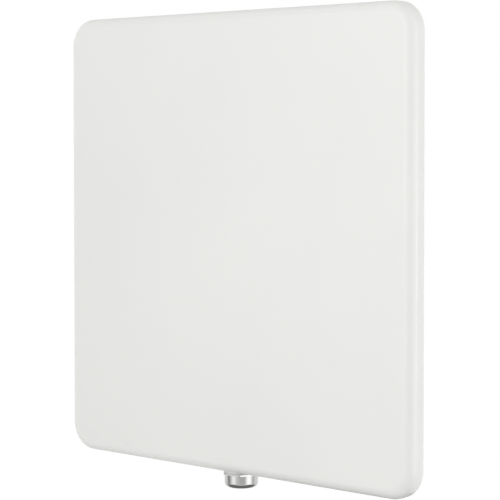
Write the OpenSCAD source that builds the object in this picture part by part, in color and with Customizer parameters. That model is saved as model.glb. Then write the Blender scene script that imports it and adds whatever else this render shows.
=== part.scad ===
// Flat panel antenna with an N type jack in its lower edge, mounted from behind.
// The panel faces -Y, +Z is up, and the origin is the centre of the four rear
// mounting threads, on the flat back face.

/* [Panel] */
// Width of the radome
panel_w = 216; // [190:1:260]
// Height of the radome
panel_h = 216; // [190:1:260]
// Radius of the four outer corners
corner_r = 13.4; // [12:0.1:20]
// Depth of the radome's side wall, from the front face to its rear edge
radome_d = 9; // [8.8:0.1:10.5]
// Depth of the pan in the back cover, behind the radome's rear edge
pan_d = 12; // [11.8:0.1:15]
// Rounding of the edge between the front face and the side wall
edge_r = 5; // [3:0.1:5.2]
// Wall thickness of the radome and the back cover
wall = 2.2; // [1.8:0.1:2.4]
// Thickness of the back cover's rim, which lies inside the radome's rear edge
rim_t = 2.4; // [2:0.1:3]
// Distance from the panel's edge to the pan of the back cover
pan_inset = 15; // [15:0.5:18]
// Radius of the pan's corners
pan_r = 8; // [4:0.5:12]

/* [Cover seal and screws] */
// Width of the ledge that carries the perimeter gasket
ledge_w = 3; // [2.5:0.1:3.4]
// Thickness of the perimeter gasket
gasket_t = 1.2; // [0.8:0.1:1.6]
// Distance from the panel's edge to the row of cover screws
screw_inset = 11; // [10.8:0.1:11]
// Distance of the extra top and bottom screws from the centre line
screw_side = 40; // [30:1:55]
// Radius of the screw bosses
boss_r = 3.5; // [3:0.1:3.7]
// Thread radius of the cover and plate screws
screw_r = 1.5; // [1.25:0.05:1.6]
// Head radius of those screws
head_r = 2.9; // [2.5:0.1:3]
// Head height of those screws
head_t = 1.8; // [1.2:0.1:2]

/* [Aerial] */
// Gap between the reflector plate and the pan's inner wall
plate_gap = 2.8; // [1:0.1:6]
// Thickness of the reflector plate
plate_t = 1.5; // [1:0.1:1.8]
// Distance by which the feed board is smaller than the plate on each side
board_margin = 2; // [1:0.5:4]
// Thickness of the feed board
board_t = 1.6; // [0.8:0.1:1.8]
// Thickness of the copper feed tracks
track_t = 0.2; // [0.1:0.05:0.3]
// Width of the feed track's trunk
trunk_w = 4.4; // [3:0.1:5]
// Width of the feed track's arms
arm_w = 2.8; // [2:0.1:4]
// Distance of each patch's centre from the two centre lines
patch_pitch = 46; // [42:0.5:48]
// Side of each square patch
patch_w = 52; // [46:0.5:54]
// Thickness of each patch
patch_t = 1; // [0.6:0.1:1.2]
// Height of the patches above the feed board
patch_gap = 4; // [3.2:0.1:4.4]
// Distance from a patch's centre to its feed probe
probe_offset = 14; // [10:0.5:18]
// Radius of the feed probes
probe_r = 0.6; // [0.5:0.05:0.8]
// Radius of the nylon posts under the patches
post_r = 4; // [3.6:0.1:5]
// Distance of the plate screws from the plate's edges
plate_screw_inset = 8; // [6:0.5:12]

/* [Mounting] */
// Distance between neighbouring mounting threads
mount_pitch = 70; // [60:1:80]
// Thread radius of the mounting bushes
mount_r = 2.5; // [2:0.25:3]
// Outer radius of the mounting bushes
bush_r = 5; // [4.5:0.1:5.5]
// Width of the collar round each mounting bush
bush_collar = 2.5; // [2:0.1:3]
// Thickness of the rubber rings under the bush collars
bush_seal_t = 1.2; // [0.8:0.1:1.6]

/* [Jack] */
// Distance of the jack's axis behind the radome's rear edge
jack_back = 1.5; // [1.3:0.1:1.7]
// Thread radius of the jack's barrel
jack_r = 7.94; // [7.5:0.01:8]
// Length of the jack below the panel
jack_below = 7.55; // [7:0.05:14]
// Rounding of the barrel's free end
jack_round = 2.4; // [0.6:0.1:2.8]
// Width across the flats of the spanner hexagon at the top of the barrel
hex_w = 16; // [15.9:0.1:17]
// Thickness of that hexagon
hex_t = 0.9; // [0.8:0.1:1.6]
// Angle by which the hexagon's flats are turned away from the panel's face
hex_turn = 7; // [0:1:30]
// Radius of the sealing washer between the hexagon and the panel
washer_r = 8.4; // [7.8:0.1:9.2]
// Thickness of that washer
washer_t = 0.55; // [0.4:0.05:1]
// Height that the chamfer takes off the hexagon's lower corners
hex_chamfer = 0.3; // [0.1:0.1:0.5]
// Radius of the neck that the two shells hold
neck_r = 6.6; // [6:0.1:6.8]
// Radius of the barrel's mouth
mouth_r = 4.05; // [4:0.01:4.2]
// Depth of the barrel's mouth, down to the insulator
mouth_d = 9; // [8.5:0.1:9.5]
// Width of the jack's flange
flange_w = 26; // [25:0.5:27]
// Depth of the jack's flange, from front to back
flange_d = 15.4; // [15:0.1:15.6]
// Thickness of the jack's flange
flange_t = 2.5; // [2:0.1:3]
// Thickness of the jack's gasket
jack_gasket_t = 1; // [0.6:0.1:1.2]
// Distance of the two jack screws from the centre line
jack_screw_x = 10.2; // [10:0.1:10.4]
// Thread radius of the jack screws
jack_screw_r = 1.25; // [1:0.05:1.3]
// Radius of the jack's centre contact
contact_r = 1.52; // [1.4:0.01:1.6]
// Radius of the pin hole in that contact
contact_bore = 0.85; // [0.8:0.01:0.9]
// Radius of the contact's stem
stem_r = 0.8; // [0.7:0.05:0.9]

/* [Vent] */
// Distance of the vent plug from the centre line
vent_x = 50; // [30:1:75]
// Radius of the vent plug's stem
vent_r = 2.5; // [2:0.1:3]

/* [Hidden] */
$fn = 64;

// Clearances: slip between parts that are put together, and room round a screw
slip = 0.25;
screw_slip = 0.05;
hole_slip = 0.2;
bore_slip = 0.03;
// Length by which a cutting shape runs past what it cuts
over = 1;

// Front to back: planes of constant Y, from the front face to the back face at Y = 0
y_edge = -pan_d;
y_front = y_edge - radome_d;
y_skin = y_front + wall;
y_rim = y_edge - rim_t;
y_ledge = y_rim - gasket_t;
y_pan = -wall;

// The jack's axis lies just behind the plane where the two shells meet
jack_y = y_edge + jack_back;
neck_hole_r = neck_r + slip / 2;

// The aerial's layers follow from the jack: its stem lies flat on the feed track
y_track = jack_y + stem_r;
y_board = y_track + track_t;
y_plate = y_board + board_t;
y_plate_back = y_plate + plate_t;
y_patch_back = y_board - patch_gap;
y_patch = y_patch_back - patch_t;
plate_w = panel_w - 2 * (pan_inset + wall + plate_gap);
plate_h = panel_h - 2 * (pan_inset + wall + plate_gap);
board_w = plate_w - 2 * board_margin;
board_h = plate_h - 2 * board_margin;

// Top to bottom at the jack: planes of constant Z
z_bottom = -panel_h / 2;
z_inside = z_bottom + wall + ledge_w;
z_gasket = z_inside + jack_gasket_t;
z_flange = z_gasket + flange_t;
z_bracket = z_flange + plate_t;
z_barrel = z_bottom - washer_t;
z_tip = z_bottom - jack_below;
barrel_len = z_barrel - z_tip;
z_mouth = z_tip + mouth_d;

// The hump of the back cover that houses the jack's rear half, and the bracket that holds
// the jack, are wider than the flange by this much on each side
hump_room = 3.5;
bracket_side = 1;
hump_w = flange_w + 2 * hump_room;
bracket_w = flange_w + 2 * bracket_side;
bracket_y = jack_y - flange_d / 2 + over;

// Screws
screw_x = panel_w / 2 - screw_inset;
screw_z = panel_h / 2 - screw_inset;
plate_screw_x = plate_w / 2 - plate_screw_inset;
plate_screw_z = plate_h / 2 - plate_screw_inset;
// Plastic left under the screw holes, and room between a screw's tip and its hole's floor
boss_base_t = 0.8;
pan_base_t = 0.4;
tip_room = 0.6;
cover_screw_end = y_skin + boss_base_t + tip_room;
plate_screw_end = y_pan - pan_base_t - tip_room;
post_stub_r = 2.5;
post_head_r = 3.4;
post_head_t = 1;
patch_screw_len = 4.5;
jack_head_r = 2.3;
jack_head_t = 1.5;

// Insulator and contact
insulator_r = 3.5;
sleeve_r = 2.05;
sleeve_len = 2;
contact_recess = 5;
contact_bore_d = 3.2;
stem_overlap = 6;

// Vent
vent_y = (y_edge + y_pan) / 2;
vent_head_r = 3.6;
vent_head_t = 1.5;
vent_bore_r = 1;
membrane_t = 0.4;
z_pan = -(panel_h / 2 - pan_inset);

// A flat outline with round corners
module rounded(w, h, r) {
    square([w - 2 * r, h], center = true);
    square([w, h - 2 * r], center = true);
    for (sx = [-1, 1], sz = [-1, 1])
        translate([sx * (w / 2 - r), sz * (h / 2 - r)]) circle(r);
}

// A plate between two planes of constant Y, whose edge lies inside the panel's by inset
module slab(inset, r, y0, y1) {
    translate([0, y1, 0])
        rotate([90, 0, 0])
            linear_extrude(y1 - y0)
                rounded(panel_w - 2 * inset, panel_h - 2 * inset, r);
}

// The same for a plate whose edge keeps an even distance from the panel's edge
module inner_slab(inset, y0, y1) {
    slab(inset, corner_r - inset, y0, y1);
}

// A rectangular block centred on x = 0
module block(w, y0, y1, z0, z1) {
    translate([-w / 2, y0, z0]) cube([w, y1 - y0, z1 - z0]);
}

// A round bar along Y at (x, z)
module bar_y(x, z, r, y0, y1) {
    translate([x, y1, z]) rotate([90, 0, 0]) cylinder(r = r, h = y1 - y0);
}

// A round bar along Z on the jack's axis, or at another (x, y)
module bar_z(r, z0, z1, x = 0, y = jack_y) {
    translate([x, y, z0]) cylinder(r = r, h = z1 - z0);
}

// Places of the ten cover screws
module at_cover_screws() {
    for (x = [-screw_x, screw_x], z = [-screw_z, 0, screw_z]) translate([x, 0, z]) children();
    for (x = [-screw_side, screw_side], z = [-screw_z, screw_z]) translate([x, 0, z]) children();
}

// Places of the six plate screws
module at_plate_screws() {
    for (x = [-plate_screw_x, plate_screw_x], z = [-plate_screw_z, 0, plate_screw_z])
        translate([x, 0, z]) children();
}

// Places of the four patch centres
module at_patches() {
    for (x = [-patch_pitch, patch_pitch], z = [-patch_pitch, patch_pitch])
        translate([x, 0, z]) children();
}

// Places of the four mounting threads
module at_mounts() {
    for (x = [-mount_pitch / 2, mount_pitch / 2], z = [-mount_pitch / 2, mount_pitch / 2])
        translate([x, 0, z]) children();
}

// A pan-head screw along Y: its head ends at y_head and its shank reaches y_end
module screw_y(r, hr, ht, y_head, y_end) {
    side = sign(y_end - y_head);
    bar_y(0, 0, r, min(y_head, y_end), max(y_head, y_end));
    bar_y(0, 0, hr, min(y_head, y_head - side * ht), max(y_head, y_head - side * ht));
}

// Depth profile of the radome, from an inner point out to its rounded edge
module edge_profile(inner, edge) {
    translate([inner, y_front]) square([edge - edge_r - inner, radome_d]);
    translate([inner, y_front + edge_r]) square([edge - inner, radome_d - edge_r]);
    translate([edge - edge_r, y_front + edge_r]) circle(edge_r);
}

// The radome's outer form: two crossed round-edged slabs and a round-edged disc in each corner
module radome_body() {
    straight_w = panel_w - 2 * corner_r;
    straight_h = panel_h - 2 * corner_r;
    for (s = [0, 1])
        mirror([s, 0, 0])
            translate([0, 0, -straight_h / 2])
                linear_extrude(straight_h) edge_profile(0, panel_w / 2);
    for (s = [0, 1])
        mirror([0, 0, s])
            translate([-straight_w / 2, 0, 0])
                rotate([0, 90, 0])
                    mirror([1, 0, 0])
                        linear_extrude(straight_w) edge_profile(0, panel_h / 2);
    for (sx = [-1, 1], sz = [-1, 1])
        translate([sx * straight_w / 2, 0, sz * straight_h / 2])
            rotate([-90, 0, 0])
                rotate_extrude() edge_profile(0, corner_r);
}

// Front shell: smooth face, round edge, short side wall, ledge for the gasket, screw bosses
module radome() {
    color("whitesmoke") difference() {
        union() {
            difference() {
                radome_body();
                inner_slab(wall + ledge_w, y_skin, y_edge + over);
                inner_slab(wall, y_ledge, y_edge + over);
            }
            at_cover_screws() bar_y(0, 0, boss_r, y_skin, y_rim);
        }
        at_cover_screws() bar_y(0, 0, screw_r + screw_slip, cover_screw_end - tip_room, y_rim + over);
        bar_z(neck_hole_r, z_bottom - over, z_inside + over);
    }
}

// Rear shell: flat rim inside the radome, square pan, and a hump over the jack
module back_cover() {
    color("gainsboro") difference() {
        union() {
            inner_slab(wall + slip, y_rim, y_edge);
            slab(pan_inset, pan_r, y_edge, 0);
            block(hump_w + 2 * wall, y_edge, 0, z_bottom, z_pan + over);
            block(hump_w, y_rim, y_edge, z_bottom + wall + slip, z_pan);
        }
        difference() {
            union() {
                slab(pan_inset + wall, pan_r - wall, y_rim - over, y_pan);
                block(hump_w, y_rim - over, y_pan, z_inside, z_pan + wall + over);
            }
            at_plate_screws() bar_y(0, 0, boss_r, y_plate_back, y_pan + over);
        }
        at_plate_screws() bar_y(0, 0, screw_r + screw_slip, y_plate_back - over, plate_screw_end + tip_room);
        at_cover_screws() bar_y(0, 0, screw_r + hole_slip, y_rim - over, y_edge + over);
        at_mounts() bar_y(0, 0, bush_r + hole_slip, y_pan - over, over);
        bar_z(neck_hole_r, z_bottom - over, z_inside + over);
        block(2 * neck_hole_r, y_rim - over, jack_y, z_bottom - over, z_inside + over);
        bar_z(vent_r + screw_slip, z_pan - over, z_pan + wall + over, vent_x, vent_y);
    }
}

// Square rubber ring between the radome's ledge and the rim of the back cover
module cover_gasket() {
    color("dimgray") difference() {
        inner_slab(wall + slip, y_ledge, y_rim);
        inner_slab(wall + ledge_w - slip, y_ledge - over, y_rim + over);
        bar_z(neck_hole_r, z_bottom - over, z_inside + over);
    }
}

// Ten screws through the rim of the back cover into the radome's bosses
module cover_screws() {
    color("silver") at_cover_screws() screw_y(screw_r, head_r, head_t, y_edge, cover_screw_end);
}

// Aluminium ground plate, with a tongue bent forward at the bottom to hold the jack
module reflector_plate() {
    color("lightsteelblue") difference() {
        union() {
            block(plate_w, y_plate, y_plate_back, -plate_h / 2, plate_h / 2);
            block(bracket_w, y_plate, y_plate_back, z_flange, -plate_h / 2);
            block(bracket_w, bracket_y, y_plate, z_flange, z_bracket);
        }
        at_plate_screws() bar_y(0, 0, screw_r + hole_slip, y_plate - over, y_plate_back + over);
        at_patches() bar_y(0, 0, post_stub_r + screw_slip, y_plate - over, y_plate_back + over);
        at_mounts() bar_y(0, 0, bush_r - plate_t + screw_slip, y_plate - over, y_plate_back + over);
        bar_z(sleeve_r + hole_slip, z_flange - over, z_bracket + over);
        for (x = [-jack_screw_x, jack_screw_x])
            bar_z(jack_screw_r + hole_slip, z_flange - over, z_bracket + over, x);
    }
}

// Six screws through the feed board and the plate into the back cover's bosses
module plate_screws() {
    color("silver") at_plate_screws() screw_y(screw_r, head_r, head_t, y_board, plate_screw_end);
}

// Microwave laminate on the ground plate
module feed_board() {
    color("beige") difference() {
        block(board_w, y_board, y_plate, -board_h / 2, board_h / 2);
        at_plate_screws() bar_y(0, 0, screw_r + hole_slip, y_board - over, y_plate + over);
        at_patches() bar_y(0, 0, post_stub_r + screw_slip, y_board - over, y_plate + over);
    }
}

// Copper tracks: a trunk from the jack, a cross arm, and an arm to each pair of patches
module feed_tracks() {
    arm_end = patch_pitch - probe_offset + arm_w;
    color("darkorange")
        translate([0, y_board, 0])
            rotate([90, 0, 0])
                linear_extrude(track_t) {
                    translate([-trunk_w / 2, -board_h / 2]) square([trunk_w, board_h / 2]);
                    square([2 * patch_pitch + arm_w, arm_w], center = true);
                    for (x = [-patch_pitch, patch_pitch])
                        translate([x, 0]) square([arm_w, 2 * arm_end], center = true);
                }
}

// Brass pins that carry the signal from the tracks to the patches
module feed_probes() {
    color("goldenrod")
        for (x = [-patch_pitch, patch_pitch], s = [-1, 1])
            bar_y(x, s * (patch_pitch - probe_offset), probe_r, y_patch_back, y_track);
}

// Nylon posts that snap through the board and the plate and hold the patches
module patch_posts() {
    color("white") at_patches() difference() {
        union() {
            bar_y(0, 0, post_r, y_patch_back, y_board);
            bar_y(0, 0, post_stub_r, y_board, y_plate_back);
            bar_y(0, 0, post_head_r, y_plate_back, y_plate_back + post_head_t);
        }
        bar_y(0, 0, screw_r + screw_slip, y_patch_back - over, y_patch + patch_screw_len + tip_room);
    }
}

// Nylon screws that fix the patches to their posts
module patch_screws() {
    color("white") at_patches() screw_y(screw_r, head_r, head_t, y_patch, y_patch + patch_screw_len);
}

// One square aluminium patch with its screw hole
module patch_plate(sx, sz) {
    color("lightgray") translate([sx * patch_pitch, 0, sz * patch_pitch]) difference() {
        block(patch_w, y_patch, y_patch_back, -patch_w / 2, patch_w / 2);
        bar_y(0, 0, screw_r + hole_slip, y_patch - over, y_patch_back + over);
    }
}

module patch_upper_left() { patch_plate(-1, 1); }
module patch_upper_right() { patch_plate(1, 1); }
module patch_lower_left() { patch_plate(-1, -1); }
module patch_lower_right() { patch_plate(1, -1); }

// Threaded bushes, riveted to the plate, whose ends lie flush with the back face
module mount_bushes() {
    color("darkkhaki") at_mounts() difference() {
        union() {
            bar_y(0, 0, bush_r - plate_t, y_plate, y_plate_back);
            bar_y(0, 0, bush_r, y_plate_back, 0);
            bar_y(0, 0, bush_r + bush_collar, y_plate_back, y_pan - bush_seal_t);
        }
        bar_y(0, 0, mount_r, y_plate_back - plate_t / 2, over);
    }
}

// Rubber rings between the bush collars and the inside of the back cover
module bush_seals() {
    color("dimgray") at_mounts() difference() {
        bar_y(0, 0, bush_r + bush_collar, y_pan - bush_seal_t, y_pan);
        bar_y(0, 0, bush_r + hole_slip, y_pan - bush_seal_t - over, y_pan + over);
    }
}

// The jack's outline from its axis outwards, below the flange
module barrel_profile() {
    difference() {
        union() {
            translate([0, z_barrel]) square([neck_r, z_gasket - z_barrel]);
            translate([0, z_tip + jack_round]) square([jack_r, barrel_len - jack_round]);
            translate([0, z_tip]) square([jack_r - jack_round, barrel_len]);
            translate([jack_r - jack_round, z_tip + jack_round]) circle(jack_round);
        }
        translate([0, z_tip - over]) square([mouth_r, mouth_d + over]);
        translate([0, z_mouth - over]) square([insulator_r, z_gasket - z_mouth + 2 * over]);
    }
}

// Hexagon for a spanner, round the top of the barrel, with its lower corners chamfered
module spanner_hexagon() {
    corner = hex_w / 2 / cos(30);
    chamfer_run = 1 / tan(30);
    translate([0, jack_y, z_barrel - hex_t]) intersection() {
        linear_extrude(hex_t) difference() {
            rotate(hex_turn) polygon([for (a = [0:60:300]) corner * [cos(a), sin(a)]]);
            circle(mouth_r);
        }
        cylinder(hex_t, corner - hex_chamfer * chamfer_run, corner + (hex_t - hex_chamfer) * chamfer_run);
    }
}

// Jack body: flange inside the panel, neck in the shells, hexagon and barrel outside
module jack_shell() {
    color("gainsboro") difference() {
        union() {
            translate([0, jack_y, 0]) rotate_extrude() barrel_profile();
            spanner_hexagon();
            difference() {
                block(flange_w, jack_y - flange_d / 2, jack_y + flange_d / 2, z_gasket, z_flange);
                bar_z(insulator_r, z_gasket - over, z_flange + over);
            }
        }
        for (x = [-jack_screw_x, jack_screw_x])
            bar_z(jack_screw_r + screw_slip, z_gasket - over, z_flange + over, x);
    }
}

// White insulator inside the jack, with a sleeve that passes the bracket
module jack_insulator() {
    color("white") difference() {
        union() {
            bar_z(insulator_r - bore_slip, z_mouth, z_flange);
            bar_z(sleeve_r, z_flange, z_bracket + sleeve_len);
        }
        bar_z(stem_r + bore_slip, z_mouth - over, z_bracket + sleeve_len + over);
    }
}

// Gilt centre contact: socket at the mouth, stem through the insulator, flat on the track
module jack_contact() {
    z_socket = z_tip + contact_recess;
    color("gold") {
        difference() {
            bar_z(contact_r, z_socket, z_mouth);
            bar_z(contact_bore, z_socket - over, z_socket + contact_bore_d);
        }
        bar_z(stem_r, z_mouth, z_bracket + sleeve_len);
        block(2 * stem_r, jack_y - stem_r, y_track, z_bracket + sleeve_len, stem_overlap - board_h / 2);
    }
}

// Rubber gasket between the jack's flange and the bottom wall
module jack_gasket() {
    color("dimgray") difference() {
        block(flange_w, jack_y - flange_d / 2, jack_y + flange_d / 2, z_inside, z_gasket);
        bar_z(neck_hole_r, z_inside - over, z_gasket + over);
    }
}

// Sealing washer round the neck, between the hexagon and the panel's lower edge
module jack_washer() {
    color("whitesmoke") difference() {
        bar_z(washer_r, z_barrel, z_bottom);
        bar_z(neck_hole_r, z_barrel - over, z_bottom + over);
    }
}

// Two screws through the plate's bent tongue into the jack's flange
module jack_screws() {
    color("silver") for (x = [-jack_screw_x, jack_screw_x]) {
        bar_z(jack_screw_r, z_gasket, z_bracket, x);
        bar_z(jack_head_r, z_bracket, z_bracket + jack_head_t, x);
    }
}

// Breather plug in the bottom wall of the pan
module vent_plug() {
    color("slategray") difference() {
        union() {
            bar_z(vent_head_r, z_pan - vent_head_t, z_pan, vent_x, vent_y);
            bar_z(vent_r, z_pan, z_pan + wall, vent_x, vent_y);
        }
        bar_z(vent_bore_r, z_pan - vent_head_t - over, z_pan + wall + over, vent_x, vent_y);
    }
}

// Thin membrane on the inner end of the vent plug
module vent_membrane() {
    color("white") bar_z(vent_r, z_pan + wall, z_pan + wall + membrane_t, vent_x, vent_y);
}

radome();
back_cover();
cover_gasket();
cover_screws();
reflector_plate();
plate_screws();
feed_board();
feed_tracks();
feed_probes();
patch_posts();
patch_screws();
patch_upper_left();
patch_upper_right();
patch_lower_left();
patch_lower_right();
mount_bushes();
bush_seals();
jack_shell();
jack_insulator();
jack_contact();
jack_gasket();
jack_washer();
jack_screws();
vent_plug();
vent_membrane();
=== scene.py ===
# %% [markdown]
# # Flat panel antenna
# A flat panel antenna is a thin square box. Its front is a smooth plastic cap, the radome,
# which radio waves pass through. Its back is a plastic cover with a raised pan, and one
# metal jack for the cable points down out of the lower edge.
#
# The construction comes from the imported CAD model, which is loaded here as a fixed frame.
# Every piece that is made below takes its place and size from that frame.

# %% Load the frame
import math

import bmesh
import bpy
from mathutils import Matrix, Vector


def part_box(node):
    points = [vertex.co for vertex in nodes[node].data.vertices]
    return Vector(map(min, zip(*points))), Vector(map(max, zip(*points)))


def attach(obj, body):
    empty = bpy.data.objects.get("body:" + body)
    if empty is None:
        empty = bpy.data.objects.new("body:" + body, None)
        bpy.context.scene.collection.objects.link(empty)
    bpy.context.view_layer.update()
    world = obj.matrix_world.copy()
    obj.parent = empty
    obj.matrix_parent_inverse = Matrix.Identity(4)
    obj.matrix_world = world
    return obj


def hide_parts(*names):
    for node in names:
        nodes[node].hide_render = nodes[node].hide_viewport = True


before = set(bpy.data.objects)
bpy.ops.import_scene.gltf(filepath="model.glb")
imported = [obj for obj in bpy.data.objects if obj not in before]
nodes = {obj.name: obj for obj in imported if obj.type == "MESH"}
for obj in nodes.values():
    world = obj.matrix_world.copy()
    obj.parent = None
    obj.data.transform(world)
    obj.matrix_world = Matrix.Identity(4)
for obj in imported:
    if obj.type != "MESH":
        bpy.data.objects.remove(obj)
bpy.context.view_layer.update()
MM = 0.001
BODY = "root"
print("loaded", len(nodes), "nodes")

# %% [markdown]
# ## Measures
# The CAD boxes give the planes that everything else lines up with: the front face, the
# rear edge of the radome, and the lower edge of the panel. The few sizes that a box can't
# give, such as a wall's thickness, are named once, here or where they are first needed.

# %% Planes and sizes taken from the frame
radome_low, radome_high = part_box("radome")
cover_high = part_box("back_cover")[1]
seal_low, seal_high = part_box("cover_gasket")
jack_low, jack_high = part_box("jack_shell")
washer_low, washer_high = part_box("jack_washer")
half_w = radome_high.x
half_h = radome_high.z
y_front = radome_low.y
y_edge = radome_high.y
y_ledge = seal_low.y
y_rim = seal_high.y
corner_r = 13.4 * MM
wall = 2.2 * MM
ledge_w = 3 * MM
print("panel", round(2 * half_w, 4), "x", round(2 * half_h, 4), "m")
print("radome", round(y_edge - y_front, 4), "m deep")


# %% [markdown]
# ## Helpers for meshes
# Most pieces here are one outline carried round a path: round a square with soft corners
# for the shells, or round an axis for turned parts. So there is one helper that joins
# rings of points into a closed skin, and two that make such rings.
#
# Real edges are never razor sharp, so `soften` swaps each corner of an outline for a short
# arc. Longer arcs get more steps, which keeps them round close up.

# %% Outlines with soft corners
ARC_STEP = 0.4 * MM
LEAST_STEPS = 4


def soften(points):
    """Rounds an outline. Each point is (a, b, radius); a radius of 0 keeps the corner."""
    out = []
    for i, (a, b, radius) in enumerate(points):
        here = Vector((a, b))
        if radius == 0 or i in (0, len(points) - 1):
            out.append((a, b))
            continue
        to_last = (Vector(points[i - 1][:2]) - here).normalized()
        to_next = (Vector(points[i + 1][:2]) - here).normalized()
        half = to_last.angle(to_next) / 2
        reach = radius / math.tan(half)
        centre = here + (to_last + to_next).normalized() * (radius / math.sin(half))
        first = here + to_last * reach - centre
        last = here + to_next * reach - centre
        steps = LEAST_STEPS + round(radius / ARC_STEP)
        turn = math.pi - 2 * half
        if first.cross(last) < 0:
            turn = -turn
        for k in range(steps + 1):
            angle = turn * k / steps
            spun = Vector((
                first.x * math.cos(angle) - first.y * math.sin(angle),
                first.x * math.sin(angle) + first.y * math.cos(angle),
            ))
            out.append(tuple(centre + spun))
    return out


def soft_ring(corners, radius):
    """A closed outline through (a, b) corners, each rounded to the same radius."""
    loop = [(*corners[-1], 0)] + [(*corner, radius) for corner in corners] + [(*corners[0], 0)]
    return soften(loop)[1:-1]


# %% [markdown]
# ## From rings to a skin
# A skin joins neighbouring rings with four-sided faces and closes both ends with a flat cap.
# Both kinds of ring go in: square ones for the shells, and circles for turned pieces.

# %% Rings joined into a closed skin
def link(mesh, name):
    """Puts a mesh into the scene as a new object."""
    obj = bpy.data.objects.new(name, mesh)
    bpy.context.scene.collection.objects.link(obj)
    return obj


def skin(name, rings):
    """A closed surface through rings of points, with a flat cap on each end."""
    bm = bmesh.new()
    rows = [[bm.verts.new(p) for p in ring] for ring in rings]
    count = len(rows[0])
    for a, b in zip(rows, rows[1:]):
        for i in range(count):
            j = (i + 1) % count
            bm.faces.new((a[i], a[j], b[j], b[i]))
    bm.faces.new(list(reversed(rows[0])))
    bm.faces.new(rows[-1])
    bmesh.ops.recalc_face_normals(bm, faces=bm.faces)
    mesh = bpy.data.meshes.new(name)
    bm.to_mesh(mesh)
    bm.free()
    return link(mesh, name)


def square_ring(half_x, half_z, radius, y, arc_steps=14, side_steps=10):
    """Points round a soft-cornered rectangle in the plane Y = y."""
    ring = []
    corners = [(1, 1, 0), (-1, 1, 90), (-1, -1, 180), (1, -1, 270)]
    for sx, sz, start in corners:
        for k in range(arc_steps + 1):
            angle = math.radians(start + 90 * k / arc_steps)
            x = sx * (half_x - radius) + radius * math.cos(angle)
            z = sz * (half_z - radius) + radius * math.sin(angle)
            ring.append(Vector((x, y, z)))
    full = []
    for i, point in enumerate(ring):
        full.append(point)
        following = ring[(i + 1) % len(ring)]
        if i % (arc_steps + 1) == arc_steps:
            full += [point.lerp(following, k / side_steps) for k in range(1, side_steps)]
    return full


def turned(name, outline, centre, axis, steps=96):
    """A turned piece: the outline's (radius, height) points, spun about an axis through centre."""
    spin = Vector(axis).to_track_quat("Z", "Y")
    rings = []
    for radius, height in outline:
        ring = []
        for k in range(steps):
            angle = 2 * math.pi * k / steps
            point = Vector((radius * math.cos(angle), radius * math.sin(angle), height))
            ring.append(Vector(centre) + spin @ point)
        rings.append(ring)
    return skin(name, rings)


# %% [markdown]
# ## Cutting, smoothing and placing
# Holes are cut with solid tools, as a drill or a mould core would make them. Smooth shading
# with weighted normals then keeps the flat stretches between the soft corners truly flat.
# `islands` finds where the CAD model has each screw or bush, so that no place is typed twice.

# %% Finishing a mesh
SAME_POINT = 1e-6


def bake_modifiers(obj):
    """Turns an object's modifiers into its mesh."""
    graph = bpy.context.evaluated_depsgraph_get()
    graph.update()
    mesh = bpy.data.meshes.new_from_object(
        obj.evaluated_get(graph), preserve_all_data_layers=True, depsgraph=graph
    )
    obj.modifiers.clear()
    obj.data = mesh


def cut(obj, cutter, operation="DIFFERENCE"):
    """Cuts obj with another mesh, or adds it, and removes the other mesh."""
    step = obj.modifiers.new("cut", "BOOLEAN")
    step.operation = operation
    step.solver = "EXACT"
    step.object = cutter
    bake_modifiers(obj)
    bpy.data.objects.remove(cutter)


def smooth(obj, sharp_degrees=50):
    """Smooth shading that leaves flat stretches flat and real corners crisp."""
    obj.data.polygons.foreach_set("use_smooth", [True] * len(obj.data.polygons))
    obj.data.set_sharp_from_angle(angle=math.radians(sharp_degrees))
    step = obj.modifiers.new("flats", "WEIGHTED_NORMAL")
    step.keep_sharp = True
    step.weight = 100
    bake_modifiers(obj)


def join(name, pieces):
    """Several meshes as one object, each a closed skin of its own."""
    bm = bmesh.new()
    for piece in pieces:
        bm.from_mesh(piece.data)
        bpy.data.objects.remove(piece)
    mesh = bpy.data.meshes.new(name)
    bm.to_mesh(mesh)
    bm.free()
    return link(mesh, name)


def islands(node):
    """The low and high corners of each separate solid in a CAD node."""
    bm = bmesh.new()
    bm.from_mesh(nodes[node].data)
    bmesh.ops.remove_doubles(bm, verts=bm.verts, dist=SAME_POINT)
    seen = set()
    boxes = []
    for start in bm.verts:
        if start in seen:
            continue
        seen.add(start)
        queue = [start]
        points = []
        while queue:
            vert = queue.pop()
            points.append(vert.co.copy())
            for edge in vert.link_edges:
                other = edge.other_vert(vert)
                if other not in seen:
                    seen.add(other)
                    queue.append(other)
        low = Vector([min(p[i] for p in points) for i in range(3)])
        high = Vector([max(p[i] for p in points) for i in range(3)])
        boxes.append((low, high))
    bm.free()
    return sorted(boxes, key=lambda b: (round(b[0].x, 5), round(b[0].z, 5)))


def place(obj, slot_name, *replaced):
    """Sends a finished piece out on the body, in place of CAD nodes. slot_name is not used."""
    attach(obj, BODY)
    if replaced:
        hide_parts(*replaced)
    print("made", obj.name, "with", len(obj.data.polygons), "faces")


# %% [markdown]
# ## Helpers for materials
# Each finish is a small node tree: a Principled shader, a little unevenness in its colour
# and roughness, and a bump for the surface's grain. Values that are the same all over are
# typed into the shader's own sockets, and only what varies is linked.

# %% Material helpers
DRIFT_FROM, DRIFT_TO = 0.35, 0.65


def shader(name, colour, roughness, metallic=0.0, specular=0.5):
    """A new Principled material, with its node tree and its shader node."""
    material = bpy.data.materials.new(name)
    material.use_nodes = True
    tree = material.node_tree
    surface = tree.nodes["Principled BSDF"]
    surface.inputs["Base Color"].default_value = (*colour, 1)
    surface.inputs["Roughness"].default_value = roughness
    surface.inputs["Metallic"].default_value = metallic
    surface.inputs["Specular IOR Level"].default_value = specular
    return material, tree, surface


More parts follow.
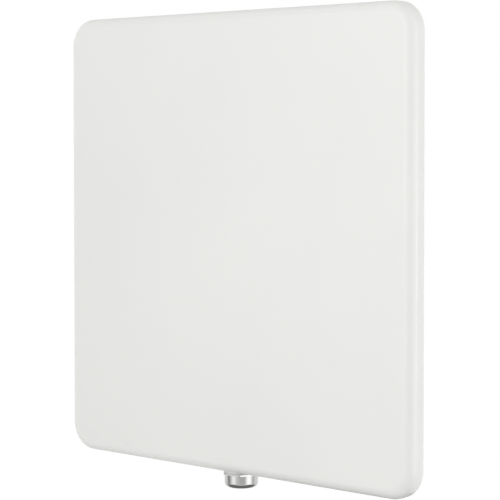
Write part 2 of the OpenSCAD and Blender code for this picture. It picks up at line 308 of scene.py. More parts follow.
def grain(tree, scale, detail=3, stretch=(1, 1, 1)):
    """A noise field in the object's own metres, scale in lumps per metre."""
    place_node = tree.nodes.new("ShaderNodeTexCoord")
    mapping = tree.nodes.new("ShaderNodeMapping")
    mapping.inputs["Scale"].default_value = stretch
    noise = tree.nodes.new("ShaderNodeTexNoise")
    noise.inputs["Scale"].default_value = scale
    noise.inputs["Detail"].default_value = detail
    tree.links.new(place_node.outputs["Object"], mapping.inputs["Vector"])
    tree.links.new(mapping.outputs["Vector"], noise.inputs["Vector"])
    return noise.outputs["Fac"]


def tint(tree, surface, field, low, high):
    """The base colour drifts between two close shades."""
    ramp = tree.nodes.new("ShaderNodeValToRGB")
    ramp.color_ramp.elements[0].position = DRIFT_FROM
    ramp.color_ramp.elements[0].color = (*low, 1)
    ramp.color_ramp.elements[1].position = DRIFT_TO
    ramp.color_ramp.elements[1].color = (*high, 1)
    tree.links.new(field, ramp.inputs["Fac"])
    tree.links.new(ramp.outputs["Color"], surface.inputs["Base Color"])


def gloss(tree, surface, field, low, high):
    """The roughness drifts between two values."""
    spread = tree.nodes.new("ShaderNodeMapRange")
    spread.inputs["To Min"].default_value = low
    spread.inputs["To Max"].default_value = high
    tree.links.new(field, spread.inputs["Value"])
    tree.links.new(spread.outputs["Result"], surface.inputs["Roughness"])


def bump(tree, surface, field, height):
    """The surface's grain, with its height in metres."""
    node = tree.nodes.new("ShaderNodeBump")
    node.inputs["Strength"].default_value = 1.0
    node.inputs["Distance"].default_value = height
    tree.links.new(field, node.inputs["Height"])
    tree.links.new(node.outputs["Normal"], surface.inputs["Normal"])


def dress(obj, material):
    """Puts one material on an object, in place of any that it had."""
    obj.data.materials.clear()
    obj.data.materials.append(material)


# %% [markdown]
# ## Plastics
# The radome is off-white, slightly glossy plastic that stands sun and rain. A close look
# shows a very fine leathery grain from the mould and a faint drift in its shade. The rear
# cover is the same family with a coarser, duller grain.

# %% Plastic materials
SHADE_LUMPS = 9
GLOSS_LUMPS = 60
GLOSS_SPREAD = 0.03


def moulded(name, low, high, roughness, grain_size, grain_height):
    """Moulded plastic that drifts between two shades, with its grain's size and height."""
    material, tree, surface = shader(name, low, roughness)
    tint(tree, surface, grain(tree, SHADE_LUMPS, 2), low, high)
    gloss(tree, surface, grain(tree, GLOSS_LUMPS, 2), roughness - GLOSS_SPREAD, roughness + GLOSS_SPREAD)
    bump(tree, surface, grain(tree, 1 / grain_size, 2), grain_height)
    return material


radome_white = moulded(
    "radome_white", (0.820, 0.826, 0.802), (0.838, 0.842, 0.818), 0.24, 0.9 * MM, 0.002 * MM
)
cover_grey = moulded(
    "cover_grey", (0.70, 0.705, 0.685), (0.725, 0.73, 0.71), 0.55, 0.7 * MM, 0.012 * MM
)
print("plastics ready")

# %% [markdown]
# ## Radome
# The front shell is drawn as one outline from the middle of the face, over the rounded edge,
# down the short side wall, round the rear edge, and back inside over the ledge that
# carries the gasket. Carried round the square, it becomes a closed shell of even wall.

# %% Radome shell
EDGE_R = 5 * MM
RIM_SOFT = 0.35 * MM
LEDGE_SOFT = 0.3 * MM
INNER_EDGE_R = 0.8 * MM
LEAST_CORNER_R = 1.5 * MM
FLAT_INSET = 40 * MM


def shell_rings(outline):
    """Rings for an outline of (inset, y) pairs, with corners that keep an even distance."""
    rings = []
    for inset, y in outline:
        radius = max(corner_r - inset, LEAST_CORNER_R)
        rings.append(square_ring(half_w - inset, half_h - inset, radius, y))
    return rings


radome_outline = soften([
    (FLAT_INSET, y_front, 0),
    (0, y_front, EDGE_R),
    (0, y_edge, RIM_SOFT),
    (wall, y_edge, RIM_SOFT),
    (wall, y_ledge, LEDGE_SOFT),
    (wall + ledge_w, y_ledge, LEDGE_SOFT),
    (wall + ledge_w, y_front + wall, INNER_EDGE_R),
    (FLAT_INSET, y_front + wall, 0),
])
radome = skin("radome_shell", shell_rings(radome_outline))

# %% [markdown]
# The shell has a half-round notch for the jack's neck, cut with a plain cylinder, and ten
# hollow bosses inside for the cover's screws.

# %% Notch and bosses
jack_x = (jack_low.x + jack_high.x) / 2
jack_y = (jack_low.y + jack_high.y) / 2
NECK_HOLE_R = 6.725 * MM
BOSS_R = 3.5 * MM
BOSS_HOLE_R = 1.55 * MM
BOSS_FLOOR = 1.2 * MM
BOSS_SINK = 0.2 * MM
AXIS_GAP = 0.4 * MM


def rod(name, radius, centre, axis, length, steps=64):
    """A plain round bar, used for cutting."""
    return turned(name, [(radius, 0), (radius, length)], centre, axis, steps)


below_wall = (jack_x, jack_y, -half_h - wall)
neck_cutter = rod("neck_cutter", NECK_HOLE_R, below_wall, (0, 0, 1), wall * 2 + ledge_w + 1 * MM)
cut(radome, neck_cutter)
boss_list = []
for low, high in islands("cover_screws"):
    x, z = (low.x + high.x) / 2, (low.z + high.z) / 2
    base = y_front + wall - BOSS_SINK
    boss_outline = soften([
        (AXIS_GAP, 0, 0),
        (BOSS_R, 0, 0),
        (BOSS_R, y_rim - base, LEDGE_SOFT),
        (BOSS_HOLE_R, y_rim - base, 0),
        (BOSS_HOLE_R, BOSS_FLOOR, 0),
        (AXIS_GAP, BOSS_FLOOR, 0),
    ])
    boss_list.append(turned("boss", boss_outline, (x, base, z), (0, 1, 0), 32))
radome = join("radome_shell", [radome] + boss_list)
smooth(radome)
dress(radome, radome_white)
place(radome, "radome_white", "radome")

# %% [markdown]
# ## Back cover
# The cover is one moulding: a flat rim for the screws, a raised square pan, and a hump over
# the rear half of the jack. Its CAD form is already right, so a copy of that mesh is
# cleaned of its triangles, and every corner is rounded a little, as a mould would leave it.

# %% Back cover
COVER_EDGE_R = 0.7 * MM
FLAT_WITHIN = math.radians(0.5)
CORNER_FROM = math.radians(35)


def softened_copy(node, name, edge_r):
    """A copy of a CAD node with its flat faces merged and its corners rounded."""
    bm = bmesh.new()
    bm.from_mesh(nodes[node].data)
    bmesh.ops.remove_doubles(bm, verts=bm.verts, dist=SAME_POINT)
    bmesh.ops.dissolve_limit(bm, angle_limit=FLAT_WITHIN, verts=bm.verts, edges=bm.edges)
    mesh = bpy.data.meshes.new(name)
    bm.to_mesh(mesh)
    bm.free()
    obj = link(mesh, name)
    step = obj.modifiers.new("soft edges", "BEVEL")
    step.width = edge_r
    step.segments = 3
    step.limit_method = "ANGLE"
    step.angle_limit = CORNER_FROM
    step.harden_normals = False
    bake_modifiers(obj)
    smooth(obj, 40)
    return obj


cover = softened_copy("back_cover", "cover_moulding", COVER_EDGE_R)
dress(cover, cover_grey)
place(cover, "cover_grey", "back_cover")

# %% [markdown]
# ## Metals
# The jack is brass with a bright nickel plating, so it mirrors the studio round it. The
# screws and bushes are duller stainless steel, and the plates inside are rolled aluminium
# with fine straight lines from the rollers.

# %% Metal materials
HAZE_LUMPS = 240
LINE_LUMPS = 900
BRIGHTER, DULLER = 0.8, 1.25


def plated(name, colour, roughness, stretch, line_height):
    """Bare or plated metal, whose fine lines run where stretch is least."""
    material, tree, surface = shader(name, colour, roughness, metallic=1.0)
    gloss(tree, surface, grain(tree, HAZE_LUMPS, 2), roughness * BRIGHTER, roughness * DULLER)
    bump(tree, surface, grain(tree, LINE_LUMPS, 2, stretch), line_height)
    return material


jack_chrome = plated("jack_chrome", (0.62, 0.62, 0.61), 0.10, (0.15, 0.15, 4), 0.0008 * MM)
screw_steel = plated("screw_steel", (0.58, 0.575, 0.56), 0.28, (1, 1, 1), 0.004 * MM)
bush_steel = plated("bush_steel", (0.56, 0.555, 0.54), 0.3, (1, 1, 1), 0.004 * MM)
plate_aluminium = plated("plate_aluminium", (0.74, 0.745, 0.75), 0.34, (0.05, 1, 2), 0.006 * MM)
patch_aluminium = plated("patch_aluminium", (0.77, 0.775, 0.78), 0.3, (2, 1, 0.05), 0.005 * MM)
track_copper = plated("track_copper", (0.78, 0.42, 0.27), 0.3, (1, 1, 1), 0.004 * MM)
probe_brass = plated("probe_brass", (0.72, 0.56, 0.27), 0.25, (1, 1, 1), 0.003 * MM)
contact_gold = plated("contact_gold", (0.83, 0.62, 0.27), 0.2, (1, 1, 1), 0.002 * MM)
print("metals ready")

# %% [markdown]
# ## Jack
# The jack's body is turned on a lathe, so it is one outline spun about its axis: a wide
# mouth for the plug, a rounded free end, a smooth barrel, and a thinner neck that the two
# shells hold. The square flange sits inside the panel.
#
# At the top of the barrel a thin hexagon is left for a spanner. It's milled from the bar at
# no set angle to the flange, so it's turned a little, and its upper corners are chamfered.
# A pale nylon washer, made further on, keeps this metal off the panel's lower edge.

# %% Jack body
BARREL_END_R = 2.4 * MM
BARREL_TOP_R = 0.35 * MM
NECK_R = 6.6 * MM
MOUTH_R = 4.05 * MM
MOUTH_DEPTH = 9 * MM
MOUTH_LIP_R = 0.5 * MM
BORE_R = 3.5 * MM
STEP_SOFT = 0.2 * MM
NECK_SOFT = 0.1 * MM
NECK_SINK = 1 * MM
BARREL_R = 7.94 * MM
FLANGE_W = 26 * MM
FLANGE_D = 15.4 * MM
FLANGE_T = 2.5 * MM
FLANGE_CORNER_R = 1.5 * MM
FLANGE_SOFT = 0.3 * MM
FLANGE_HOLE_R = 1.3 * MM
HEX_W = 16 * MM
HEX_T = 0.9 * MM
HEX_TURN = math.radians(7)
HEX_CHAMFER = 0.3 * MM
HEX_SOFT = 0.2 * MM
HEX_CORNER_R = 0.6 * MM
HEX_ARC_STEPS = 4
z_tip = jack_low.z
z_flange = jack_high.z
z_gasket = z_flange - FLANGE_T
z_barrel = washer_low.z


def closed_turned(name, outline, centre, axis, steps=96):
    """A turned ring: like turned, but the outline's end joins its start round a hole."""
    obj = turned(name, outline, centre, axis, steps)
    bm = bmesh.new()
    bm.from_mesh(obj.data)
    caps = [f for f in bm.faces if len(f.verts) == steps]
    edges = [e for f in caps for e in f.edges]
    bmesh.ops.delete(bm, geom=caps, context="FACES_ONLY")
    bmesh.ops.bridge_loops(bm, edges=edges)
    bmesh.ops.recalc_face_normals(bm, faces=bm.faces)
    bm.to_mesh(obj.data)
    bm.free()
    return obj


def hex_ring(apothem, z):
    """Points round the spanner hexagon at height z, with its six corners slightly rounded."""
    corner = apothem / math.cos(math.pi / 6)
    angles = [HEX_TURN + math.pi / 3 * k for k in range(6)]
    corners = [(corner * math.cos(a), corner * math.sin(a)) for a in angles]
    return [Vector((x + jack_x, y + jack_y, z)) for x, y in soft_ring(corners, HEX_CORNER_R)]


jack_outline = soften([
    (BORE_R, z_gasket - z_tip + NECK_SINK, 0),
    (BORE_R, MOUTH_DEPTH, STEP_SOFT),
    (MOUTH_R, MOUTH_DEPTH, STEP_SOFT),
    (MOUTH_R, 0, MOUTH_LIP_R),
    (BARREL_R, 0, BARREL_END_R),
    (BARREL_R, z_barrel - z_tip, BARREL_TOP_R),
    (NECK_R, z_barrel - z_tip, NECK_SOFT),
    (NECK_R, z_gasket - z_tip + NECK_SINK, 0),
])
jack = closed_turned("jack_body", jack_outline, (jack_x, jack_y, z_tip), (0, 0, 1), 128)

hex_rings = []
for k in range(HEX_ARC_STEPS + 1):
    turn = math.pi / 2 * k / HEX_ARC_STEPS
    inset, drop = HEX_SOFT * (1 - math.sin(turn)), HEX_SOFT * (1 - math.cos(turn))
    hex_rings.append(hex_ring(HEX_W / 2 - inset, z_barrel - drop))
hex_rings.append(hex_ring(HEX_W / 2, z_barrel - HEX_T))
hexagon = skin("hexagon", hex_rings)
hex_corner = HEX_W / 2 / math.cos(math.pi / 6)
chamfer_run = 1 / math.tan(math.pi / 6)
cone = [
    (hex_corner - HEX_CHAMFER * chamfer_run, 0),
    (hex_corner + (HEX_T - HEX_CHAMFER) * chamfer_run, HEX_T),
]
hex_foot = (jack_x, jack_y, z_barrel - HEX_T)
cut(hexagon, turned("chamfer_cone", cone, hex_foot, (0, 0, 1)), "INTERSECT")
below_hex = (jack_x, jack_y, z_barrel - 2 * HEX_T)
cut(hexagon, rod("mouth_cutter", MOUTH_R + 1 * MM, below_hex, (0, 0, 1), 3 * HEX_T))
cut(jack, hexagon, "UNION")

flange_rings = []
flange_steps = [
    (FLANGE_SOFT, z_gasket),
    (0, z_gasket + FLANGE_SOFT),
    (0, z_flange - FLANGE_SOFT),
    (FLANGE_SOFT, z_flange),
]
for inset, z in flange_steps:
    ring = square_ring(FLANGE_W / 2 - inset, FLANGE_D / 2 - inset, FLANGE_CORNER_R, 0, 8, 2)
    flange_rings.append([Vector((p.x + jack_x, p.z + jack_y, z)) for p in ring])
flange = skin("flange", flange_rings)
CUT_PAST = 1 * MM
z_cut, cut_length = z_gasket - CUT_PAST, FLANGE_T + 2 * CUT_PAST
cut(flange, rod("bore_cutter", BORE_R, (jack_x, jack_y, z_cut), (0, 0, 1), cut_length))
for low, high in islands("jack_screws"):
    spot = ((low.x + high.x) / 2, jack_y, z_cut)
    cut(flange, rod("screw_cutter", FLANGE_HOLE_R, spot, (0, 0, 1), cut_length, 32))
cut(jack, flange, "UNION")
smooth(jack, 30)
dress(jack, jack_chrome)
place(jack, "jack_chrome", "jack_shell")

# %% [markdown]
# ## Screws
# The ten screws on the rim show from behind. A pan head is a low dome with rounded
# shoulders and a cross-shaped recess, and its shank is a plain rod here because the thread
# is always inside the boss.

# %% Cross-recess screws
HEAD_R = 2.9 * MM
HEAD_T = 1.8 * MM
SHANK_R = 1.5 * MM
RECESS_W = 0.9 * MM
RECESS_L = 3.0 * MM
RECESS_D = 1.0 * MM
RECESS_TURN = 17
SCREW_AXIS_GAP = 0.15 * MM


def pan_screw(name, x, y_head, z, y_end):
    """One screw along Y, whose head looks to the rear."""
    length = abs(y_end - y_head)
    outline = soften([
        (SCREW_AXIS_GAP, HEAD_T, 0),
        (1.7 * MM, HEAD_T, 2.4 * MM),
        (HEAD_R, HEAD_T * 0.45, 0.8 * MM),
        (HEAD_R, 0, 0.2 * MM),
        (SHANK_R, 0, 0),
        (SHANK_R, 0.35 * MM - length, 0.2 * MM),
        (SHANK_R - 0.3 * MM, -length, 0),
        (SCREW_AXIS_GAP, -length, 0),
    ])
    screw = turned(name, outline, (x, y_head, z), (0, 1, 0), 40)
    for turn in (0, 90):
        bm = bmesh.new()
        bmesh.ops.create_cube(bm, size=1)
        mould = (
            Matrix.Translation((x, y_head + HEAD_T, z))
            @ Matrix.Rotation(math.radians(turn + RECESS_TURN), 4, "Y")
            @ Matrix.Diagonal((RECESS_L, 2 * RECESS_D, RECESS_W, 1))
        )
        bmesh.ops.transform(bm, matrix=mould, verts=bm.verts)
        mesh = bpy.data.meshes.new("recess")
        bm.to_mesh(mesh)
        bm.free()
        cut(screw, link(mesh, "recess"))
    return screw


screw_list = []
for low, high in islands("cover_screws"):
    x, z = (low.x + high.x) / 2, (low.z + high.z) / 2
    screw_list.append(pan_screw("rim_screw", x, high.y - HEAD_T, z, low.y))
rim_screws = join("rim_screws", screw_list)
smooth(rim_screws, 35)
dress(rim_screws, screw_steel)
place(rim_screws, "screw_steel", "cover_screws")

# %% [markdown]
# ## Mounting bushes
# Four threaded steel bushes lie flush in the back. Each is a turned sleeve with a wide
# collar, a chamfered mouth, and a blind hole. The thread is a stack of fine round grooves,
# which at this size looks the same as a spiral and is simply part of the turned outline.

# %% Bushes with a thread
THREAD_PITCH = 0.8 * MM
THREAD_DEPTH = 0.22 * MM
BUSH_R = 5 * MM
HOLE_R = 2.5 * MM
COLLAR_R = 7.5 * MM
RIVET_R = 3.5 * MM
CHAMFER = 0.5 * MM
PLATE_T = 1.5 * MM
FOOT_T = 0.75 * MM
BUSH_SOFT = 0.2 * MM
BUSH_TOP_SOFT = 0.15 * MM
BUSH_AXIS_GAP = 0.1 * MM
THREAD_END = 0.4 * MM
bush_seal_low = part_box("bush_seals")[0]
bush_low, bush_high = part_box("mount_bushes")


def bush(x, z):
    """One bush: its outline runs from the foot's middle, out and up, and down the hole."""
    foot, top = bush_low.y, bush_high.y
    plate_back = foot + PLATE_T
    hole_floor = foot + FOOT_T
    outline = [
        (BUSH_AXIS_GAP, foot),
        (RIVET_R - BUSH_SOFT, foot),
        (RIVET_R, foot + BUSH_SOFT),
        (RIVET_R, plate_back),
        (COLLAR_R - BUSH_SOFT, plate_back),
        (COLLAR_R, plate_back + BUSH_SOFT),
        (COLLAR_R, bush_seal_low.y),
        (BUSH_R, bush_seal_low.y),
        (BUSH_R, top - BUSH_TOP_SOFT),
        (BUSH_R - BUSH_TOP_SOFT, top),
        (HOLE_R + CHAMFER, top),
        (HOLE_R, top - CHAMFER),
    ]
    groove = top - CHAMFER
    while groove - THREAD_PITCH > hole_floor + THREAD_END:
        outline.append((HOLE_R + THREAD_DEPTH, groove - THREAD_PITCH / 2))
        groove -= THREAD_PITCH
        outline.append((HOLE_R, groove))
    outline += [(HOLE_R, hole_floor), (BUSH_AXIS_GAP, hole_floor)]
    return turned("bush", outline, (x, 0, z), (0, 1, 0), 64)


bush_places = islands("mount_bushes")
bush_list = [bush((low.x + high.x) / 2, (low.z + high.z) / 2) for low, high in bush_places]
bushes = join("threaded_bushes", bush_list)
smooth(bushes, 30)
dress(bushes, bush_steel)
place(bushes, "bush_steel", "mount_bushes")

# %% [markdown]
# ## Rubber, laminate, nylon and the rest
# What stays inside the panel keeps its CAD form and gets a finish of its own: matt rubber
# seals, a woven glass laminate under the copper, milky nylon posts, the white insulator,
# the grey breather plug and its pale membrane. The washer's nylon is darker than the posts'
# as painted shade, for the shade that falls on it under the panel's lower edge.

# %% Soft and plain materials
DULL_LUMPS = 40
WAVE_PER_BAND = 0.314
WAVE_WOBBLE = 0.4


def dull(name, low, high, roughness, grain_size, grain_height):
    """Rubber or plain plastic: a faint drift of shade and a fine grain, with even gloss."""
    material, tree, surface = shader(name, low, roughness)
    tint(tree, surface, grain(tree, DULL_LUMPS), low, high)
    bump(tree, surface, grain(tree, 1 / grain_size), grain_height)
    return material


def woven(name, low, high, roughness, pitch):
    """Glass cloth under resin: two crossed sets of fine bands."""
    material, tree, surface = shader(name, low, roughness)
    coords = tree.nodes.new("ShaderNodeTexCoord")
    bands = []
    for band_axis in ("X", "Z"):
        wave = tree.nodes.new("ShaderNodeTexWave")
        wave.wave_type = "BANDS"
        wave.bands_direction = band_axis
        wave.inputs["Scale"].default_value = WAVE_PER_BAND / pitch
        wave.inputs["Distortion"].default_value = WAVE_WOBBLE
        tree.links.new(coords.outputs["Object"], wave.inputs["Vector"])
        bands.append(wave.outputs["Fac"])
    cross = tree.nodes.new("ShaderNodeMath")
    cross.operation = "MULTIPLY"
    tree.links.new(bands[0], cross.inputs[0])
    tree.links.new(bands[1], cross.inputs[1])
    tint(tree, surface, cross.outputs["Value"], low, high)
    bump(tree, surface, cross.outputs["Value"], 0.01 * MM)
    return material


seal_rubber = dull(
    "seal_rubber", (0.022, 0.022, 0.023), (0.034, 0.034, 0.035), 0.75, 0.5 * MM, 0.02 * MM
)
nylon = dull("nylon", (0.76, 0.755, 0.70), (0.80, 0.795, 0.74), 0.4, 0.8 * MM, 0.004 * MM)
# Painted shade: a darker copy of the posts' nylon, for the shade under the panel's edge.
washer_nylon_painted_shade = dull(
    "washer_nylon_painted_shade", (0.56, 0.562, 0.55), (0.60, 0.602, 0.59), 0.5, 0.8 * MM, 0.004 * MM
)
insulator_white = dull(
    "insulator_white", (0.84, 0.84, 0.83), (0.88, 0.88, 0.87), 0.45, 0.5 * MM, 0.003 * MM
)
vent_grey = dull("vent_grey", (0.23, 0.235, 0.24), (0.27, 0.275, 0.28), 0.5, 0.6 * MM, 0.01 * MM)
membrane_white = dull(
    "membrane_white", (0.80, 0.80, 0.79), (0.86, 0.86, 0.85), 0.9, 0.2 * MM, 0.01 * MM
)
board_laminate = woven("board_laminate", (0.62, 0.60, 0.47), (0.70, 0.68, 0.55), 0.42, 0.6 * MM)

finish_of = {
    "cover_gasket": seal_rubber,
    "reflector_plate": plate_aluminium,
    "plate_screws": screw_steel,
    "feed_board": board_laminate,
    "feed_tracks": track_copper,
    "feed_probes": probe_brass,
    "patch_posts": nylon,
    "patch_screws": nylon,
    "patch_upper_left": patch_aluminium,
    "patch_upper_right": patch_aluminium,
    "patch_lower_left": patch_aluminium,
    "patch_lower_right": patch_aluminium,
    "bush_seals": seal_rubber,
    "jack_insulator": insulator_white,
    "jack_contact": contact_gold,
    "jack_gasket": seal_rubber,
    "jack_screws": screw_steel,
    "vent_plug": vent_grey,
    "vent_membrane": membrane_white,
}
for node, material in finish_of.items():
    for slot_place in nodes[node].material_slots:
        slot_place.material = material
print("dressed", len(finish_of), "CAD nodes")

# %% [markdown]
# ## Washer above the jack
# The panel's front edge is rounded, so a hard flat washer would leave a dark gap between the
# two. This one is soft: the jack's pull squeezes its rim up against the rounded edge. It's
# turned taller than the CAD ring and then cut by the panel's own outer shape, which leaves
# the rim bedded on the edge and the rest of the ring as flat as before.

# %% Washer bedded against the rounded edge
RIM_REACH = 1.2 * MM
WASHER_SOFT = 0.15 * MM
washer_r = (washer_high.x - washer_low.x) / 2
washer_top = washer_high.z - washer_low.z + RIM_REACH
washer_outline = soften([
    (NECK_HOLE_R, washer_top, 0),
    (NECK_HOLE_R, 0, 0),
    (washer_r, 0, WASHER_SOFT),
    (washer_r, washer_top, 0),
])
washer = closed_turned("bedded_washer", washer_outline, (jack_x, jack_y, washer_low.z), (0, 0, 1))
panel_outside = soften([
    (FLAT_INSET, y_front, 0),
    (0, y_front, EDGE_R),
    (0, cover_high.y, 0),
    (FLAT_INSET, cover_high.y, 0),
])
cut(washer, skin("panel_cutter", shell_rings(panel_outside)))
smooth(washer, 40)
dress(washer, washer_nylon_painted_shade)
place(washer, "nylon", "jack_washer")

# %% [markdown]
# ## Camera
# The camera stands to the right of the panel and just above it, so it sees the face at a
# slant and a thin strip of the right-hand side. It is far away with a long lens, which keeps
# the square's edges nearly parallel.

# %% Camera
CAMERA_AZIMUTH = math.radians(42.328)
CAMERA_TILT = math.radians(1.937)
FOCAL_MM = 130.48
SENSOR_MM = 36
SHIFT_UP = -0.10
PANELS_AHEAD, PANELS_ASIDE, PANELS_UP = 3.9005, 0.05157, 0.22432
panel = 2 * half_h
ahead = Vector((math.sin(CAMERA_AZIMUTH), -math.cos(CAMERA_AZIMUTH), 0))
aside = Vector((math.cos(CAMERA_AZIMUTH), math.sin(CAMERA_AZIMUTH), 0))
camera_data = bpy.data.cameras.new("camera")
camera_data.lens = FOCAL_MM
camera_data.sensor_width = SENSOR_MM
camera_data.shift_y = SHIFT_UP
camera = bpy.data.objects.new("camera", camera_data)
camera.location = (
    Vector((0, y_front, 0))
    + panel * (PANELS_AHEAD * ahead + PANELS_ASIDE * aside)
    + Vector((0, 0, PANELS_UP * panel))
)
camera.rotation_euler = (math.pi / 2 - CAMERA_TILT, 0, CAMERA_AZIMUTH)
bpy.context.scene.collection.objects.link(camera)
bpy.context.scene.camera = camera
print("camera at", [round(v, 4) for v in camera.location])

# %% [markdown]
# ## Studio
# Pale plastic wants broad light from nearly all round. Bright metal has no shade of its own
# and only mirrors what stands round it. So the lamps light the plastic but stay out of every
# reflection, and a few glowing surfaces are seen in reflections and nowhere else.

# %% Studio helpers
def direction(azimuth, elevation=0.0):
    """The direction towards a place seen from the panel. Azimuth 0 is in front, 90 on the right."""
    a, e = math.radians(azimuth), math.radians(elevation)
    return Vector((math.sin(a) * math.cos(e), -math.cos(a) * math.cos(e), math.sin(e)))


def softbox(name, azimuth, elevation, distance, width, height, level, target=(0, 0, 0)):
    """A rectangular lamp whose own brightness is level, where 1 is white."""
    lamp = bpy.data.lights.new(name, "AREA")
    lamp.shape = "RECTANGLE"
    lamp.size = width
    lamp.size_y = height
    lamp.energy = level * math.pi * width * height
    obj = bpy.data.objects.new(name, lamp)
    obj.location = Vector(target) + direction(azimuth, elevation) * distance
    obj.rotation_euler = (Vector(target) - obj.location).to_track_quat("-Z", "Y").to_euler()
    obj.visible_camera = False
    obj.visible_glossy = False
    bpy.context.scene.collection.objects.link(obj)
    return obj


def glow(name, level):
    """A white material that shines with its own brightness, where 1 is white."""
    material = bpy.data.materials.new(name)
    material.use_nodes = True
    tree = material.node_tree
    tree.nodes.remove(tree.nodes["Principled BSDF"])
    lit = tree.nodes.new("ShaderNodeEmission")
    lit.inputs["Color"].default_value = (1, 1, 1, 1)
    lit.inputs["Strength"].default_value = level
    tree.links.new(lit.outputs["Emission"], tree.nodes["Material Output"].inputs["Surface"])
    return material


def reflected_only(obj, material):
    """Leaves a studio piece visible to reflections and to nothing else."""
    obj.data.materials.append(material)
    for way in ("camera", "diffuse", "transmission", "volume_scatter", "shadow"):
        setattr(obj, "visible_" + way, False)


# %% [markdown]
# ## Lamps
# Two tall softboxes stand left and right of the camera. The right-hand one is nearer and
# stronger, so the face grows slightly brighter towards its right. A small one close to the
# panel, left of the lens and level with the panel's upper half, lifts that half a little.

# %% Lamps
view_azimuth = math.degrees(CAMERA_AZIMUTH)
left_lamp = softbox(
    "left_softbox", view_azimuth - 68, elevation=0, distance=2.6, width=1.9, height=2.6, level=1.3
)
right_lamp = softbox(
    "right_softbox", view_azimuth + 72, elevation=0, distance=1.7, width=1.6, height=2.0, level=1.82
)
upper_lamp = softbox(
    "upper_softbox", view_azimuth - 30, elevation=7, distance=0.7, width=0.6, height=0.6, level=1.7,
    target=(0, 0, 0.1),
)
for lamp in (left_lamp, right_lamp, upper_lamp):
    print(lamp.name, "gives", round(lamp.data.energy, 2), "W")

# %% [markdown]
# ## Screen round the jack
# A bright round barrel squeezes the whole room into narrow upright bands. An open ring of
# glowing cloth stands round the jack, lighter and darker by turns, to give it such bands.
# Each tone is an angle and a brightness: 0 degrees is at the camera, and positive angles are
# to the right.

# %% Screen round the jack
SCREEN_R = 1.45
SCREEN_LOW, SCREEN_HIGH = -0.6, 1.2
SCREEN_STEPS = 96
BRIGHTEST = 1.7
screen_tones = [
    (-180, 0.95), (-118, 0.92), (-97, 0.32), (-52, 1.32), (-28, 0.78), (0, 0.60),
    (20, 0.62), (50, 1.65), (63, 1.50), (86, 0.65), (112, 0.95), (180, 0.95),
]
rim_angles = [2 * math.pi * k / SCREEN_STEPS for k in range(SCREEN_STEPS)]
screen_rim = [(SCREEN_R * math.cos(a), SCREEN_R * math.sin(a)) for a in rim_angles]
screen_mesh = bpy.data.meshes.new("screen")
screen_mesh.from_pydata(
    [(x, y, z) for z in (SCREEN_LOW, SCREEN_HIGH) for x, y in screen_rim],
    [],
    [(k, (k + 1) % SCREEN_STEPS, (k + 1) % SCREEN_STEPS + SCREEN_STEPS, k + SCREEN_STEPS)
     for k in range(SCREEN_STEPS)],
)
screen = link(screen_mesh, "screen")
screen.location = (jack_x, jack_y, 0)
screen.rotation_euler.z = CAMERA_AZIMUTH - math.pi / 2
screen_glow = glow("screen_glow", 1)
tree = screen_glow.node_tree
place_on = tree.nodes.new("ShaderNodeTexCoord")
round_it = tree.nodes.new("ShaderNodeTexGradient")
round_it.gradient_type = "RADIAL"
tones = tree.nodes.new("ShaderNodeValToRGB")
tones.color_ramp.interpolation = "EASE"
while len(tones.color_ramp.elements) < len(screen_tones):
    tones.color_ramp.elements.new(0.5)
for stop, (turn, level) in zip(tones.color_ramp.elements, screen_tones):
    stop.position = 0.5 + turn / 360
    stop.color = (level / BRIGHTEST,) * 3 + (1,)
strength = tree.nodes.new("ShaderNodeMath")
strength.operation = "MULTIPLY"
strength.inputs[1].default_value = BRIGHTEST
tree.links.new(place_on.outputs["Object"], round_it.inputs["Vector"])
tree.links.new(round_it.outputs["Fac"], tones.inputs["Fac"])
tree.links.new(tones.outputs["Color"], strength.inputs[0])
tree.links.new(strength.outputs["Value"], tree.nodes["Emission"].inputs["Strength"])
reflected_only(screen, screen_glow)
print("screen with", len(screen_tones), "tones, the brightest", BRIGHTEST)

# %% [markdown]
# ## Two strips
# The jack's rounded free end looks down, where it would mirror the white floor and fade into
# it. A dark strip just below gives this edge a grey line. Far to the right, a narrow bright
# strip draws the thin highlight down the panel's rounded right-hand edge.

# %% Dark strip under the jack, bright strip beside the panel
def card(name, centre, facing, width, height, level):
    """A flat card of brightness level that only reflections see."""
    mesh = bpy.data.meshes.new(name)
    w, h = width / 2, height / 2
    mesh.from_pydata([(-w, -h, 0), (w, -h, 0), (w, h, 0), (-w, h, 0)], [], [(0, 1, 2, 3)])
    obj = link(mesh, name)
    obj.location = centre
    obj.rotation_euler = Vector(facing).to_track_quat("Z", "Y").to_euler()
    reflected_only(obj, glow(name, level))
    return obj


STRIP_DROP = 45 * MM
STRIP_AHEAD = 18.5 * MM
BRIGHT_DISTANCE = 1.4
BRIGHT_DROP = 0.08
under_jack = Vector((jack_x, jack_y, z_tip - STRIP_DROP)) + ahead * STRIP_AHEAD
dark_strip = card("dark_strip", under_jack, (0, 0, 1), width=0.22, height=0.105, level=0.19)
dark_strip.rotation_euler.z = CAMERA_AZIMUTH
towards_strip = direction(view_azimuth + 75)
beside_panel = towards_strip * BRIGHT_DISTANCE - Vector((0, 0, BRIGHT_DROP))
card("bright_strip", beside_panel, -towards_strip, width=0.25, height=0.35, level=4)
print("strips at", [round(v, 3) for v in under_jack], "and", [round(v, 3) for v in beside_panel])

# %% [markdown]
# ## Floor and surroundings
# The floor is plain and pale, and it takes the object's shadow. The camera and reflections
# see a white room, while the plastic is lit by a softer, darker one, so its face keeps its
# off-white shade instead of washing out.

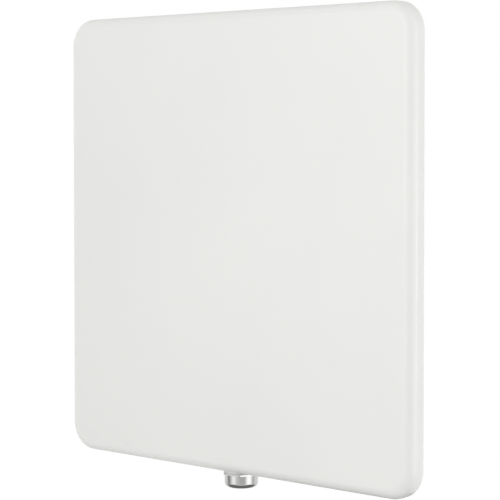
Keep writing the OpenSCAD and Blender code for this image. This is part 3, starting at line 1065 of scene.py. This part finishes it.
# %% Floor and surroundings
FLOOR_DROP = 0.6
FLOOR_REACH = 40
CAMERA_LIFT = 0.6
MIRROR_LIFT = 0.3
floor_corners = [(a * FLOOR_REACH, b * FLOOR_REACH, 0) for a, b in ((-1, -1), (1, -1), (1, 1), (-1, 1))]
floor_mesh = bpy.data.meshes.new("floor")
floor_mesh.from_pydata(floor_corners, [], [(0, 1, 2, 3)])
floor = link(floor_mesh, "floor")
floor.location = (0, 0, -FLOOR_DROP)
floor_pale, floor_tree, floor_surface = shader("floor_pale", (0.8, 0.8, 0.8), 0.9, specular=0.0)
floor_path = floor_tree.nodes.new("ShaderNodeLightPath")
floor_surface.inputs["Emission Color"].default_value = (1, 1, 1, 1)
lifts = []
for ray, lift in [("Is Camera Ray", CAMERA_LIFT), ("Is Glossy Ray", MIRROR_LIFT)]:
    step = floor_tree.nodes.new("ShaderNodeMath")
    step.operation = "MULTIPLY"
    step.inputs[1].default_value = lift
    floor_tree.links.new(floor_path.outputs[ray], step.inputs[0])
    lifts.append(step)
floor_lift = floor_tree.nodes.new("ShaderNodeMath")
floor_lift.operation = "ADD"
for socket, step in zip(floor_lift.inputs, lifts):
    floor_tree.links.new(step.outputs["Value"], socket)
floor_tree.links.new(floor_lift.outputs["Value"], floor_surface.inputs["Emission Strength"])
dress(floor, floor_pale)
print("floor", FLOOR_DROP, "m below the panel's middle")

# %% [markdown]
# ## The room
# White where the camera, a reflection or a see-through ray looks, and softer for the light
# that falls on the plastic.

# %% World
ROOM_LEVEL = 0.50
WHITE_LEVEL = 1.0
world = bpy.data.worlds.new("studio")
bpy.context.scene.world = world
world.use_nodes = True
sky = world.node_tree
sky.nodes.clear()
out = sky.nodes.new("ShaderNodeOutputWorld")
path = sky.nodes.new("ShaderNodeLightPath")
seen = sky.nodes.new("ShaderNodeMath")
seen.operation = "MAXIMUM"
seen_too = sky.nodes.new("ShaderNodeMath")
seen_too.operation = "MAXIMUM"
white = sky.nodes.new("ShaderNodeBackground")
white.inputs["Color"].default_value = (1, 1, 1, 1)
white.inputs["Strength"].default_value = WHITE_LEVEL
room = sky.nodes.new("ShaderNodeBackground")
room.inputs["Color"].default_value = (1, 1, 1, 1)
room.inputs["Strength"].default_value = ROOM_LEVEL
choose = sky.nodes.new("ShaderNodeMixShader")
sky.links.new(path.outputs["Is Camera Ray"], seen.inputs[0])
sky.links.new(path.outputs["Is Glossy Ray"], seen.inputs[1])
sky.links.new(seen.outputs["Value"], seen_too.inputs[0])
sky.links.new(path.outputs["Is Transmission Ray"], seen_too.inputs[1])
sky.links.new(seen_too.outputs["Value"], choose.inputs["Fac"])
sky.links.new(room.outputs["Background"], choose.inputs[1])
sky.links.new(white.outputs["Background"], choose.inputs[2])
sky.links.new(choose.outputs["Shader"], out.inputs["Surface"])
bpy.context.scene.view_settings.view_transform = "Standard"
print("room level", ROOM_LEVEL, "for the plastic,", WHITE_LEVEL, "for the camera")
